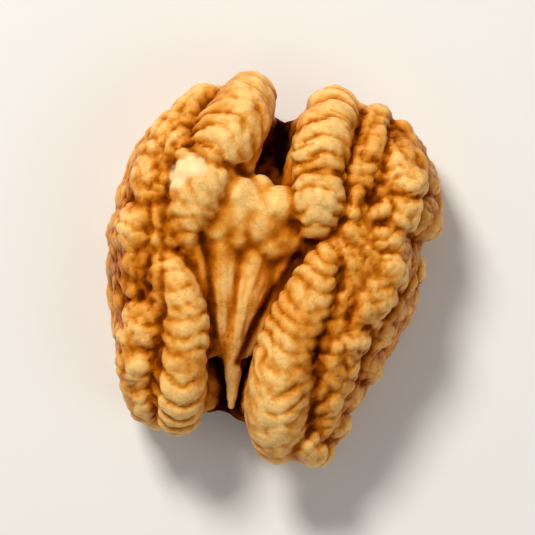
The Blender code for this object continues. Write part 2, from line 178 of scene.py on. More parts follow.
# Under folds: the smoother rolls of the flat face. The outer ones are the rim it lies on.
UNDER = {
    "rim_right": [
        (3.9, 12.6, 4.2, 1.9), (6.6, 11.6, 3.2, 1.9), (9.2, 9.4, 2.2, 2.0), (10.1, 6.6, 1.8, 2.05),
        (9.1, 4.2, 1.75, 1.9), (9.7, 1.0, 1.8, 2.05), (8.8, -2.6, 1.75, 2.0),
        (7.4, -6.2, 1.8, 2.05), (5.9, -9.6, 2.2, 1.9), (4.3, -12.2, 3.6, 1.9),
    ],
    "rim_left": [
        (-5.0, 12.4, 4.2, 1.9), (-7.8, 11.2, 3.0, 1.9), (-10.2, 8.6, 2.0, 2.0),
        (-11.4, 5.4, 1.8, 2.05), (-11.6, 1.6, 1.75, 2.0), (-11.2, -2.0, 1.8, 2.05),
        (-10.2, -5.6, 1.75, 2.0), (-9.0, -9.0, 1.9, 2.0), (-7.2, -11.8, 3.4, 1.9),
    ],
    "inner_right": [
        (1.3, 11.2, 5.0, 2.1), (0.9, 8.2, 4.2, 2.4), (2.8, 4.6, 2.5, 2.2), (3.3, 1.0, 2.2, 2.2),
        (2.4, -2.8, 2.3, 2.2), (1.1, -6.2, 3.6, 2.3), (0.9, -9.4, 4.8, 2.1),
    ],
    "inner_left": [
        (-4.0, 11.0, 5.0, 2.0), (-4.2, 8.0, 4.2, 2.4), (-6.2, 3.8, 2.5, 2.2),
        (-6.7, 0.2, 2.2, 2.2), (-6.0, -3.4, 2.3, 2.2), (-4.9, -6.8, 3.6, 2.2),
        (-4.5, -10.0, 4.8, 2.0),
    ],
}

# The flesh that the folds stand on, the webs that fill the grooves between them,
# and the floors of the two notches.
FLESH = {
    "right_shoulder": [
        (3.6, 11.4, 6.2, 2.7), (3.9, 8.6, 7.0, 3.2), (4.6, 5.2, 7.5, 3.6), (5.0, 1.6, 7.5, 3.7),
        (4.2, -2.2, 7.5, 3.5), (3.8, -6.0, 7.0, 3.3), (3.4, -10.0, 6.0, 2.8),
    ],
    "right_bank": [
        (6.4, 10.0, 5.8, 2.9), (7.2, 7.6, 6.2, 3.8), (6.9, 4.4, 6.4, 3.7), (7.2, 1.2, 6.4, 4.0),
        (6.2, -2.8, 6.3, 3.7), (5.2, -6.6, 5.9, 3.2), (4.6, -10.0, 5.2, 2.5),
    ],
    "left_shoulder": [
        (-5.4, 11.2, 6.2, 2.7), (-6.4, 8.6, 6.9, 3.2), (-7.2, 5.0, 7.4, 3.5),
        (-7.6, 1.2, 7.4, 3.5), (-7.2, -3.0, 7.3, 3.3), (-6.8, -6.8, 6.8, 3.0),
        (-6.3, -10.2, 5.8, 2.5),
    ],
    "left_bank": [
        (-7.6, 9.8, 5.8, 2.9), (-9.0, 7.4, 6.0, 3.5), (-9.5, 4.2, 6.2, 3.7), (-9.6, 0.6, 6.2, 3.7),
        (-9.1, -3.2, 6.1, 3.4), (-8.4, -6.8, 5.7, 3.0), (-7.4, -9.8, 5.0, 2.5),
    ],
    "right_web": [
        (4.5, 12.2, 7.4, 1.7), (4.3, 9.4, 9.4, 1.7), (4.4, 6.4, 9.8, 1.7), (4.8, 3.6, 9.9, 1.7),
        (4.8, 0.4, 10.0, 1.7), (4.9, -2.4, 10.0, 1.7), (4.9, -5.4, 9.9, 1.7),
        (4.6, -8.0, 8.9, 1.6), (4.4, -10.6, 7.6, 1.6),
    ],
    "seam_web": [
        (6.8, 11.4, 7.4, 1.6), (6.8, 9.0, 9.0, 1.7), (6.6, 6.2, 9.8, 1.7), (6.7, 3.0, 10.0, 1.8),
        (6.7, 0.0, 10.0, 1.7), (6.3, -2.6, 9.7, 1.6),
    ],
    "left_web": [
        (-8.4, 10.2, 7.9, 1.7), (-8.9, 8.2, 8.9, 1.7), (-9.3, 5.6, 9.2, 1.7),
        (-9.2, 2.6, 9.5, 1.7), (-8.9, 0.2, 9.7, 1.6), (-8.3, -3.8, 9.5, 1.6),
        (-7.9, -7.8, 8.7, 1.6), (-7.3, -10.8, 7.1, 1.6),
    ],
    "bridge_web": [
        (-5.6, 3.9, 9.1, 2.2), (-3.0, 4.1, 9.1, 2.3), (-0.4, 4.3, 9.0, 2.2), (2.2, 4.2, 8.9, 2.0),
    ],
    "tongue_web": [
        (-5.4, 1.0, 8.3, 1.7), (-5.0, -1.8, 8.1, 1.6), (-4.5, -4.4, 7.7, 1.3),
        (-3.9, -6.4, 7.0, 0.9),
    ],
    "notch_floor": [(-1.8, 9.8, 4.0, 1.3), (-1.9, 8.6, 4.7, 1.5), (-2.1, 7.2, 5.6, 1.7)],
    "notch_web": [(-4.0, 11.1, 3.7, 1.5), (-1.7, 10.8, 3.5, 1.15), (0.6, 11.1, 3.7, 1.5)],
    "bridge_left": [(-7.0, 5.4, 9.4, 2.2), (-4.6, 5.2, 9.1, 1.9), (-2.4, 4.4, 8.6, 1.8)],
    "bridge_low": [(-6.6, 3.2, 9.0, 1.9), (-4.6, 3.2, 8.6, 1.9), (-2.4, 2.6, 8.4, 1.8)],
    "root_floor": [(-2.0, -7.4, 4.4, 1.5), (-2.2, -8.4, 4.1, 1.4), (-2.2, -9.2, 3.9, 1.3)],
    "root_web": [(-4.6, -10.5, 3.8, 1.5), (-2.2, -10.2, 3.6, 1.15), (0.6, -10.5, 3.8, 1.5)],
    "right_floor": [
        (5.8, 8.8, 3.9, 2.4), (6.6, 4.6, 3.1, 2.5), (6.5, 0.4, 3.0, 2.5), (5.5, -4.0, 3.2, 2.4),
        (4.3, -8.4, 4.0, 2.2),
    ],
    "left_floor": [
        (-7.9, 8.2, 3.8, 2.4), (-9.0, 4.2, 3.1, 2.5), (-9.1, 0.0, 3.0, 2.5),
        (-8.4, -4.2, 3.2, 2.4), (-7.5, -8.4, 4.0, 2.2),
    ],
}

# Outline of each wing seen from above, as (y, reach from the middle) pairs.
RIGHT_OUTLINE = [
    (13.4, 7.0), (11.8, 8.8), (10.3, 10.7), (8.9, 11.7), (7.1, 12.4), (5.4, 11.6), (4.5, 10.4),
    (3.6, 10.5), (1.9, 11.7), (-0.5, 11.4), (-3.1, 10.5), (-6.9, 8.6), (-10.9, 7.1), (-13.4, 5.6),
]
LEFT_OUTLINE = [
    (13.4, -7.9), (10.4, -10.4), (6.9, -12.6), (4.0, -13.2), (1.4, -13.6), (-1.5, -13.1),
    (-4.0, -12.4), (-6.1, -11.8), (-9.7, -10.8), (-12.1, -9.2), (-13.4, -7.4),
]
# A fold over the edge of a wing, as (distance in from the outline, height, radius).
SIDE_FOLD = [(4.4, 8.0, 1.5), (2.9, 7.2, 1.6), (1.8, 5.6, 1.65), (1.6, 3.8, 1.6), (2.0, 2.2, 1.5)]
SIDE_FOLD_PITCH = 2.4
SIDE_FOLD_SLANT = 1.7       # the most that its top lies further along the kernel than its middle
SIDE_FOLDS_FROM, SIDE_FOLDS_TO = 11.2, -12.6    # where along the kernel they start and stop

# Deep creases of the domed side: points (x, y), then half-width and depth.
CREASES = [
    ([(-8.6, 8.5), (-7.4, 8.1), (-5.6, 7.5), (-3.4, 7.4)], 0.32, 0.5),
    ([(-0.2, 8.8), (0.8, 8.4), (2.2, 8.2), (3.6, 8.5)], 0.28, 0.2),
    ([(4.5, 13.6), (4.3, 11.0), (4.2, 8.6), (4.5, 7.2)], 0.26, 0.4),
    ([(4.5, 7.2), (4.6, 5.6), (4.2, 4.3), (3.4, 3.5), (1.6, 2.8)], 0.24, 0.25),
    ([(6.8, 12.6), (6.8, 10.0), (6.4, 7.4)], 0.26, 0.3),
    ([(6.4, 7.4), (6.3, 5.0), (6.7, 2.2), (6.5, -0.5), (6.1, -2.6)], 0.24, 0.15),
    ([(-9.5, 7.4), (-9.7, 5.0), (-9.3, 2.5), (-8.9, 0.0), (-8.6, -3.0), (-8.0, -4.6)], 0.26, 0.4),
    ([(-6.2, 1.9), (-5.7, 0.8), (-5.0, -0.9), (-4.3, -3.2), (-3.8, -5.6)], 0.26, 0.38),
    ([(-9.0, 0.6), (-7.8, 0.5), (-6.4, -0.3)], 0.26, 0.35),
    ([(2.0, 2.7), (0.9, 0.6), (0.1, -1.4), (-0.8, -4.2), (-1.4, -7.4)], 0.3, 0.5),
    ([(5.1, 1.2), (5.0, -2.0), (4.4, -5.0), (4.7, -8.0), (5.0, -11.4)], 0.35, 0.3),
    ([(-8.4, -4.2), (-8.0, -7.0), (-7.7, -10.0), (-7.4, -12.6)], 0.26, 0.35),
    ([(-2.9, 0.4), (-2.8, -2.4), (-2.6, -5.4)], 0.16, 0.2),
    ([(-1.0, 1.2), (-1.2, -2.0), (-1.6, -5.4)], 0.16, 0.2),
    ([(10.4, 7.8), (9.4, 7.6), (8.0, 7.9), (7.0, 7.2)], 0.26, 0.3),
    ([(10.8, 4.5), (9.4, 5.0), (8.0, 5.6), (7.0, 5.2)], 0.3, 0.4),
    ([(7.2, 3.3), (8.6, 3.2), (10.0, 3.6)], 0.22, 0.25),
    ([(-13.0, 3.9), (-11.6, 3.5), (-10.2, 3.9)], 0.35, 0.25),
    ([(-12.9, -2.2), (-11.4, -2.0), (-9.6, -2.6)], 0.35, 0.2),
]
# Small pits: x, y, radius, depth.
DIMPLES = [(-4.0, 2.3, 0.6, 0.4), (0.7, 3.9, 0.6, 0.45), (6.4, 7.0, 0.7, 0.6), (5.0, -4.6, 1.0, 0.15)]
# Nodules that stand out of the banks and the bridge: x, y, radius, height.
BUMPS = [
    (8.0, 10.2, 0.9, 0.4), (9.6, 8.7, 0.9, 0.4), (9.0, 6.5, 0.9, 0.4), (8.2, 4.3, 0.7, 0.3),
    (8.6, 2.4, 0.8, 0.35), (10.1, 1.5, 0.7, 0.35), (8.0, 0.4, 0.8, 0.3), (7.5, -1.3, 0.8, 0.3),
    (6.6, -4.4, 0.9, 0.3), (6.3, -7.4, 0.9, 0.3),
    (-11.9, 1.5, 1.3, 0.5), (-10.4, 5.4, 0.9, 0.3), (-9.8, 8.8, 0.9, 0.3), (-9.6, -6.0, 0.9, 0.35),
    (-9.4, -8.9, 0.9, 0.35), (-8.4, -11.4, 0.8, 0.3), (-3.8, 5.4, 1.1, 0.2), (-1.0, 5.0, 0.9, 0.15),
    (-3.3, 3.7, 0.9, 0.15), (-1.4, 3.2, 0.8, 0.15), (2.9, 6.4, 0.9, 0.2),
]
# Plump places where the wrinkles are faint: x, y, radius, share of the wrinkles that is lost.
CALM = [(2.8, -2.6, 2.8, 0.55), (2.6, 5.8, 1.5, 0.7), (-7.2, 5.6, 2.0, 0.6), (-5.6, 10.2, 1.2, 0.3)]
# How the coat's colour follows the relief, as painted shade in the hollows and a painted highlight
# on the crests, over the coat's own darker tone in creases, from the finest wrinkles to whole
# folds: rounds of smoothing, hollowness in millimetres on a crest and in a crease, and share of the
# colour.
HOLLOW_SHADE_SCALES = [(12, -0.07, 0.11, 0.36), (60, -0.4, 0.6, 0.32), (240, -1.0, 1.3, 0.32)]
# Where the seed coat is rubbed or chipped off the flesh: x, y, radius.
CHIPS = [(-8.3, 6.9, 1.1), (-8.8, 5.8, 0.9), (-7.5, 7.0, 0.8)]
# Paler patches (above 0), partly painted highlights, and browner patches (below 0), partly painted
# shade, over the coat's own uneven tone: x, y, radius, strength.
PATCHES_AND_PAINTED_LIGHT = [
    (2.9, 6.2, 1.2, 0.9), (-2.4, 5.1, 2.6, 0.8), (-5.0, 3.8, 1.5, 0.5), (-3.2, -1.0, 2.0, 0.5),
    (-2.6, -4.6, 1.3, 0.5), (-5.8, 9.4, 1.5, 0.8), (2.2, 11.4, 1.2, 0.7), (-6.3, -10.6, 1.4, 0.8),
    (-6.6, 6.2, 1.3, 0.5), (-3.9, 5.2, 1.2, 0.4), (-1.0, 5.4, 1.2, 0.35), (-3.4, -1.0, 1.0, 0.4),
    (-3.3, -4.4, 0.8, 0.5), (-10.6, 9.0, 1.4, 0.3), (2.0, -11.6, 1.2, 0.6), (2.6, 13.6, 0.9, 0.5),
    (0.8, -8.0, 1.0, 0.4), (3.6, -1.4, 1.2, 0.3),
    (1.4, -9.8, 1.2, 0.7), (-4.9, 12.6, 1.2, 0.5), (1.6, -6.0, 1.4, 0.4), (-0.1, 9.3, 0.9, 0.5),
    (-6.0, -5.6, 1.2, 0.3), (8.2, 10.2, 1.2, 0.4), (9.2, 6.6, 1.0, 0.3), (-7.4, 3.6, 1.6, 0.3),
    (8.6, 1.4, 1.0, 0.3), (-11.8, 1.4, 1.0, 0.2), (-6.9, -2.4, 0.9, 0.25),
    (4.4, -5.4, 1.3, -0.5), (6.2, -1.8, 1.1, -0.5), (5.5, 12.6, 1.4, -0.3), (6.3, 7.0, 0.9, -0.6),
    (0.4, 1.4, 1.0, -0.6), (-11.2, -2.4, 1.8, -0.5), (8.4, 12.6, 1.8, -0.2), (-9.6, 4.6, 0.9, -0.4),
    (-5.6, 0.6, 0.8, -0.6), (10.8, 9.6, 1.4, -0.4), (-1.0, 3.4, 0.9, -0.25), (-8.8, -2.0, 1.0, -0.5),
]

# Painted shade in the deep notches at both ends, which darken nearly to black towards the bottom:
# points (x, y) along the notch, and the height below which it darkens.
NOTCH_SHADE = [
    ([(-1.5, 13.0), (-1.7, 10.5), (-2.1, 7.2)], 9.6),
    ([(-2.9, -7.0), (-2.6, -9.5), (-2.2, -12.5)], 6.9),
    ([(-1.1, -8.5), (-1.0, -12.0)], 6.9),
]

TIP = np.array([-1.5, -11.5])     # the root tip, where the tongue's fibres meet


def curve_through(points, pitch):
    """Samples every pitch on a smooth (Catmull-Rom) curve: x, y, z, radius and distance along."""
    rows = np.array([points[0], *points, points[-1]], float)
    t = np.linspace(0, 1, 40, endpoint=False)[:, None]
    a, b, c, d = rows[:-3, None], rows[1:-2, None], rows[2:-1, None], rows[3:, None]
    square = (2 * a - 5 * b + 4 * c - d) * t ** 2
    fine = 0.5 * (2 * b + (c - a) * t + square + (3 * b - a - 3 * c + d) * t ** 3)
    fine = np.vstack([fine.reshape(-1, rows.shape[1]), rows[-1:]])
    along = np.concatenate([[0], np.cumsum(np.linalg.norm(np.diff(fine[:, :3], axis=0), axis=1))])
    wanted = np.linspace(0, along[-1], max(2, round(along[-1] / pitch) + 1))
    columns = [np.interp(wanted, along, fine[:, i]) for i in range(fine.shape[1])]
    return np.column_stack([*columns, wanted])


def outline_reach(outline, y):
    """How far an outline lies from the middle of the kernel, at y."""
    ys, xs = zip(*sorted(outline))
    return float(np.interp(y, ys, xs))


def side_folds(rng):
    """Folds that run over each wing's edge, from the banks down to the rim."""
    folds = {}
    for side, outline in (("right", RIGHT_OUTLINE), ("left", LEFT_OUTLINE)):
        y = SIDE_FOLDS_FROM
        while y > SIDE_FOLDS_TO:
            reach = outline_reach(outline, y)
            outward = math.copysign(1, reach)
            narrow = min(1, (abs(reach) - 3) / 8)       # steeper where the wing is narrow
            slant = rng.uniform(-SIDE_FOLD_SLANT, SIDE_FOLD_SLANT)
            made = []
            for step, (inset, height, radius) in enumerate(SIDE_FOLD):
                x = reach - outward * inset * narrow
                made.append((x, y + slant * (1 - step / 2), height, radius * rng.uniform(0.92, 1.08)))
            folds[f"{side}_side_{len(folds)}"] = made
            y -= SIDE_FOLD_PITCH * rng.uniform(0.75, 1.25)
    return folds


def all_folds():
    """Every fold, grouped by the kind of relief that it carries."""
    rng = random.Random(SEED)
    return {
        "shoulder": SHOULDERS, "bank": BANKS, "side": side_folds(rng),
        "middle": {**MIDDLE, **KEEL}, "under": UNDER, "flesh": FLESH,
    }


class Folds:
    """Closely spaced samples of every fold, to find the nearest fold to a point on the skin."""

    def __init__(self, groups, pitch=0.4):
        rows, starts, kinds = [], [], []
        for kind, folds in groups.items():
            for points in folds.values():
                starts.append(sum(len(part) for part in rows))
                rows.append(curve_through(points, pitch))
                kinds.append(kind)
        self.starts = np.array(starts)
        self.kinds = np.array(kinds)
        table = np.vstack(rows)
        self.place = table[:, :3].astype(np.float32)
        self.radius = table[:, 3].astype(np.float32)
        self.along = table[:, 4].astype(np.float32)
        heading = np.vstack([np.gradient(part[:, :3], axis=0) for part in rows])
        self.heading = (heading / np.linalg.norm(heading, axis=1)[:, None]).astype(np.float32)

    def read(self, co):
        """For each point: its distance from every fold's surface, and the nearest sample of any."""
        count = len(self.starts)
        gaps = np.empty((len(co), count), np.float32)
        nearest = np.empty(len(co), int)
        batch = 4000
        for at in range(0, len(co), batch):
            part = co[at:at + batch].astype(np.float32)
            squares = (part ** 2).sum(1)[:, None] + (self.place ** 2).sum(1)[None]
            away = np.sqrt(squares - 2 * part @ self.place.T + 1e-3) - self.radius[None]
            gaps[at:at + batch] = np.minimum.reduceat(away, self.starts, axis=1)
            nearest[at:at + batch] = away.argmin(1)
        return gaps, nearest


def smoothstep(low, high, value):
    """0 at low, 1 at high, and an even, rounded rise between them."""
    t = np.clip((value - low) / (high - low), 0, 1)
    return t * t * (3 - 2 * t)


def scattered(cell, seed):
    """A whole number from 0 to 65535 for every cell of a grid, with no pattern in it."""
    key = cell @ np.array([73856093, 19349663, 83492791]) + seed * 2654435761
    key = (key ^ (key >> 13)) * 1274126177 & 0xFFFFFFFF
    key = (key ^ (key >> 16)) * 2246822519 & 0xFFFFFFFF
    return (key ^ (key >> 15)) % 65536


def value_noise(co, size, seed):
    """Smooth noise from -1 to 1 whose lumps are about size millimetres across."""
    p = co / size
    base = np.floor(p).astype(np.int64)
    f = p - base
    f = f * f * f * (f * (f * 6 - 15) + 10)
    total = np.zeros(len(co))
    for corner in range(8):
        step = np.array([corner & 1, corner >> 1 & 1, corner >> 2 & 1])
        weight = np.prod(np.where(step, f, 1 - f), axis=1)
        total += weight * (scattered(base + step, seed) / 32767.5 - 1)
    return total


def fractal(co, size, seed, octaves=3):
    """The same noise with finer and fainter noise added to it."""
    total = sum(value_noise(co, size / 2 ** i, seed + i) / 2 ** i for i in range(octaves))
    return total / (2 - 0.5 ** (octaves - 1))


def wander(co, size, seeds):
    """One noise value for each seed, to shift points sideways so that borders and lumps run unevenly."""
    return np.column_stack([fractal(co, size, seed) for seed in seeds])


def cells(co, size, stretch, seed):
    """Where each point lies between its lump's middle (0) and its edge (1), and its lump's number.

    The number is drawn for each lump, from 0 to 1. stretch makes the lumps longer along an axis.
    """
    p = co / (size * np.array(stretch))
    base = np.floor(p).astype(np.int64)
    best = np.full((len(co), 2), 9.0)
    own = np.zeros(len(co))
    for dx in (-1, 0, 1):
        for dy in (-1, 0, 1):
            for dz in (-1, 0, 1):
                cell = base + np.array([dx, dy, dz])
                spot = np.empty_like(p)
                for axis in range(3):
                    spot[:, axis] = scattered(cell, seed + axis * 7) / 65535
                away = np.linalg.norm(cell + 0.5 + (spot - 0.5) * 0.85 - p, axis=1)
                closer = away < best[:, 0]
                best[:, 1] = np.where(closer, best[:, 0], np.minimum(best[:, 1], away))
                best[:, 0] = np.where(closer, away, best[:, 0])
                own = np.where(closer, spot[:, 0], own)
    return best[:, 0] / best[:, 1], own


def polyline_distance(xy, points):
    """Distance from each point to the nearest place on a line through points, seen from above."""
    found = np.full(len(xy), 99.0)
    for a, b in zip(np.array(points[:-1]), np.array(points[1:])):
        t = np.clip((xy - a) @ (b - a) / ((b - a) @ (b - a)), 0, 1)
        found = np.minimum(found, np.linalg.norm(xy - a - t[:, None] * (b - a), axis=1))
    return found


# ---------------------------------------------------------------- mesh steps
def ball_skin(groups, pitch):
    """Overlapping balls along every fold."""
    mesh = bmesh.new()
    for folds in groups.values():
        for points in folds.values():
            for x, y, z, radius, _ in curve_through(points, pitch):
                place = Matrix.Translation(Vector((x, y, z)) * MM)
                bmesh.ops.create_icosphere(mesh, subdivisions=2, radius=radius * MM, matrix=place)
    made = bpy.data.meshes.new("walnut_kernel")
    mesh.to_mesh(made)
    mesh.free()
    return made


def remeshed(piece, voxel, rounds):
    """Join whatever overlaps into one skin of even faces, a little smoothed."""
    skin = piece.modifiers.new("one_skin", "REMESH")
    skin.mode = "VOXEL"
    skin.voxel_size = voxel * MM
    soften = piece.modifiers.new("soften", "SMOOTH")
    soften.factor = 0.5
    soften.iterations = rounds
    bpy.context.view_layer.update()
    made = bpy.data.meshes.new_from_object(piece.evaluated_get(bpy.context.evaluated_depsgraph_get()))
    piece.modifiers.clear()
    piece.data = made


def points_of(mesh):
    co = np.empty(len(mesh.vertices) * 3, np.float32)
    mesh.vertices.foreach_get("co", co)
    return co.reshape(-1, 3).astype(float) / MM


def normals_of(mesh):
    normal = np.empty(len(mesh.vertices) * 3, np.float32)
    mesh.vertex_normals.foreach_get("vector", normal)
    return normal.reshape(-1, 3).astype(float)


def set_points(mesh, co):
    mesh.vertices.foreach_set("co", (co * MM).astype(np.float32).ravel())
    mesh.update()


def neighbour_mean(mesh):
    """A function that gives each point the mean of its neighbours' values."""
    edges = np.empty(len(mesh.edges) * 2, np.int32)
    mesh.edges.foreach_get("vertices", edges)
    a, b = edges.reshape(-1, 2).T
    count = len(mesh.vertices)
    share = np.maximum(np.bincount(a, minlength=count) + np.bincount(b, minlength=count), 1)

    def mean(values):
        columns = [
            np.bincount(a, values[:, i][b], count) + np.bincount(b, values[:, i][a], count)
            for i in range(values.shape[1])
        ]
        return np.column_stack(columns) / share[:, None]

    return mean


def hollowness(mesh, stops):
    """How far the skin lies below its own smoothed surface, after each number of rounds in stops."""
    co = points_of(mesh)
    normal = normals_of(mesh)
    mean = neighbour_mean(mesh)
    smooth = co
    found = []
    for done in range(1, max(stops) + 1):
        smooth = mean(smooth)
        if done in stops:
            found.append(((smooth - co) * normal).sum(1))
    return found


# ---------------------------------------------------------------- relief
def regions(folds, co):
    """For each point: the share of each kind of fold, how much nearer one fold is than the next,
    and the nearest sample."""
    gaps, nearest = folds.read(co)
    visible = folds.kinds != "flesh"
    ordered = np.sort(gaps[:, visible], axis=1)
    between = ordered[:, 1] - ordered[:, 0]
    shares = {}
    for kind in ("shoulder", "bank", "side", "middle", "under"):
        shares[kind] = np.exp(-(gaps[:, folds.kinds == kind].min(1) - ordered[:, 0]) / BLEND)
    total = sum(shares.values())
    return {kind: share / total for kind, share in shares.items()}, between, nearest


def wrinkle_phase(folds, co, nearest):
    """Distance along the nearest fold, bent so that wrinkles arch round its end, and to its side."""
    offset = co - folds.place[nearest]
    heading = folds.heading[nearest]
    ahead = (offset * heading).sum(1)
    sideways = offset[:, 0] * heading[:, 1] - offset[:, 1] * heading[:, 0]
    bend = 0.16 * sideways ** 2
    return folds.along[nearest] + ahead + bend, sideways


def big_relief(folds, co):
    """Creases between folds, lumps on the wings and the listed deep creases, in millimetres."""
    share, between, _ = regions(folds, co)
    warp = 0.7 * wander(co, 2.6, (21, 22, 23))
    upper = 0.45 + 0.55 * smoothstep(4.0, 7.0, co[:, 2])
    height = -SEAM_DEPTH * np.exp(-(between / SEAM_WIDTH) ** 2) * (1 - 0.6 * share["middle"]) * upper

    outward, own = cells(co + 1.5 * warp, LOBE, (1.0, 1.0, 1.25), 5)
    tall = 0.42 * share["bank"] + 0.42 * share["side"] + 0.3 * share["under"] + 0.06 * share["shoulder"]
    height += tall * (0.6 - outward ** 2.5 + 0.6 * (own - 0.5))

    domed = smoothstep(*DOME_EDGE, co[:, 2])
    for points, half_width, depth in CREASES:
        away = polyline_distance(co[:, :2] + 0.35 * warp[:, :2], points)
        height -= depth * np.exp(-(away / half_width) ** 2) * domed
    pits = [(x, y, radius, -depth) for x, y, radius, depth in DIMPLES]
    for x, y, radius, rise in pits + BUMPS:
        away = np.linalg.norm(co[:, :2] + 0.3 * warp[:, :2] - (x, y), axis=1)
        height += rise * np.exp(-(away / radius) ** 2) * domed
    return height


def fine_relief(folds, co):
    """Wrinkles across the folds, small lumps and the tongue's fibres, in millimetres."""
    share, _, nearest = regions(folds, co)
    phase, sideways = wrinkle_phase(folds, co, nearest)
    phase = phase + 0.75 * fractal(co, 2.4, 31) + 0.8 * fractal(co, 6.0, 35, 1)
    ridge = np.abs(np.sin(math.pi * phase / WRINKLE_PITCH)) ** 0.8 - 0.6
    aslant = 0.7 * phase + 0.75 * sideways + 0.6 * fractal(co, 1.8, 37)
    slant = np.abs(np.sin(math.pi * aslant / SLANT_PITCH)) - 0.6
    patchy = 0.3 + 0.7 * smoothstep(-0.35, 0.35, fractal(co, 3.4, 33, 2))
    wrinkled = np.ones(len(co))
    for x, y, radius, lost in CALM:
        wrinkled -= lost * np.exp(-(np.linalg.norm(co[:, :2] - (x, y), axis=1) / radius) ** 2)
    tall = 0.33 * share["shoulder"] + 0.15 * share["bank"] + 0.06 * share["side"]
    low = 0.11 * share["shoulder"] + 0.09 * share["bank"] + 0.05 * share["under"]
    height = wrinkled * ridge * patchy * tall + slant * (1.1 - patchy) * low

    outward, own = cells(co + 0.4 * wander(co, 1.4, (41, 42, 43)), NODULE, (1.0, 1.0, 1.15), 9)
    tall = 0.12 * share["bank"] + 0.15 * share["side"] + 0.08 * share["under"] + 0.04 * share["shoulder"]
    height += tall * (0.6 - outward ** 3 + 0.4 * (own - 0.5))

    fan = FAN_REACH * np.arctan2(co[:, 0] - TIP[0], co[:, 1] - TIP[1])
    fan += 0.5 * fractal(co * (1, 0.35, 1), 1.4, 51)
    strand = np.abs(np.sin(math.pi * fan / FIBRE_PITCH)) ** 0.8 - 0.6
    strand *= 0.6 + 0.7 * smoothstep(-0.4, 0.5, fractal(co, 1.8, 53))
    tongue = share["middle"] * smoothstep(2.0, -1.5, co[:, 1]) * smoothstep(5.0, 6.5, co[:, 2])
    height += 0.09 * tongue * strand
    height += 0.05 * fractal(co, 0.7, 61)
    height += 0.15 * share["middle"] * (1 - tongue) * fractal(co, 1.5, 63)
    return height


def chip_mask(co):
    """1 where the seed coat is missing, with a ragged border."""
    mask = np.zeros(len(co))
    ragged = 0.5 * fractal(co, 1.1, 71)
    for x, y, radius in CHIPS:
        away = np.linalg.norm(co[:, :2] - (x, y), axis=1) / radius + ragged
        mask = np.maximum(mask, smoothstep(1.15, 0.6, away) * smoothstep(7.0, 8.5, co[:, 2]))
    return mask


def patches_and_painted_light(co):
    """Paler and browner patches, partly the coat's own tone and partly painted highlights and painted
    shade, with soft, uneven borders.
    """
    patch_and_light = np.zeros(len(co))
    shift = 0.5 * wander(co, 1.6, (81, 82))
    # pale spots paint highlights and brown spots paint shade, partly the coat's own tone
    for x, y, radius, strength in PATCHES_AND_PAINTED_LIGHT:
        away = np.linalg.norm(co[:, :2] + shift - (x, y), axis=1) / radius
        patch_and_light += strength * np.exp(-away ** 2)
    patch_and_light *= smoothstep(5.0, 7.0, co[:, 2])
    # painted shade: each notch darker towards its bottom
    for points, top in NOTCH_SHADE:
        away = polyline_distance(co[:, :2] + 0.6 * shift, points)
        inside = smoothstep(top, top - 2.2, co[:, 2]) * smoothstep(1.5, 3.0, co[:, 2])
        patch_and_light -= 1.5 * np.exp(-(away / 1.5) ** 2) * inside
    return patch_and_light


def tone_and_painted_light(mesh, co):
    """0 on a crest, where a painted highlight pales the coat, 1 in a crease, where painted shade darkens
    it over the coat's own darker tone.
    """
    depth = -0.3 * patches_and_painted_light(co)
    hollows = hollowness(mesh, [rounds for rounds, *_ in HOLLOW_SHADE_SCALES])
    for hollow, (_, crest, crease, share) in zip(hollows, HOLLOW_SHADE_SCALES):
        depth += share * np.clip((hollow - crest) / (crease - crest), 0, 1)
    return depth


def write_values(mesh, name, values):
    """One number on each point, for a material to read by name."""
    layer = mesh.attributes.new(name, "FLOAT", "POINT")
    layer.data.foreach_set("value", values.astype(np.float32))


def fitted(co):
    """The points brought to the solid's size, with the lowest folds pressed flat."""
    co = (co - co.min(0)) * (HIGH - LOW) / (co.max(0) - co.min(0)) + LOW
    height = HIGH[2] - LOW[2]
    co[:, 2] = np.maximum(co[:, 2] - PRESSED, LOW[2])
    co[:, 2] = LOW[2] + (co[:, 2] - LOW[2]) * height / (height - PRESSED)
    return co


def kernel_piece():
    """The whole kernel: folds, creases, wrinkles, and the values that colour it."""
    groups = all_folds()
    folds = Folds(groups)
    piece = bpy.data.objects.new("walnut_kernel", ball_skin(groups, BALL_PITCH))
    bpy.context.scene.collection.objects.link(piece)
    remeshed(piece, SKIN_VOXEL, 3)
    co = points_of(piece.data)
    set_points(piece.data, co + normals_of(piece.data) * big_relief(folds, co)[:, None])
    remeshed(piece, FINE_VOXEL, 1)
    co = points_of(piece.data)
    set_points(piece.data, co + normals_of(piece.data) * fine_relief(folds, co)[:, None])

    co = points_of(piece.data)
    # painted shade in the hollows and painted highlight on the crests, over the coat's own tone
    write_values(piece.data, "tone_and_painted_light", tone_and_painted_light(piece.data, co))
    write_values(piece.data, "bare", chip_mask(co))
    set_points(piece.data, fitted(co))
    piece.data.shade_smooth()
    return piece


# ---------------------------------------------------------------- materials
def linear(hex_colour):
    """An sRGB hex colour as the linear red, green, blue and alpha that Blender mixes."""
    parts = [int(hex_colour[i:i + 2], 16) / 255 for i in (1, 3, 5)]
    return [*(c / 12.92 if c <= 0.04045 else ((c + 0.055) / 1.055) ** 2.4 for c in parts), 1]


def add_node(material, kind, links=(), **settings):
    """A node with its settings, each the node's own or one of its inputs, and its links.

    links are (this node's input, the other node, its output).
    """
    node = material.node_tree.nodes.new(kind)
    for name, value in settings.items():
        if hasattr(node, name):
            setattr(node, name, value)
        else:
            node.inputs[name.replace("_", " ").title()].default_value = value
    for socket, other, output in links:
        material.node_tree.links.new(other.outputs[output], node.inputs[socket])
    return node


def set_ramp(node, stops):
    """Give a colour ramp its stops, as (position, colour) pairs from left to right."""
    ramp = node.color_ramp
    while len(ramp.elements) < len(stops):
        ramp.elements.new(0.5)
    for element, (position, colour) in zip(ramp.elements, stops):
        element.position = position
        element.color = linear(colour)


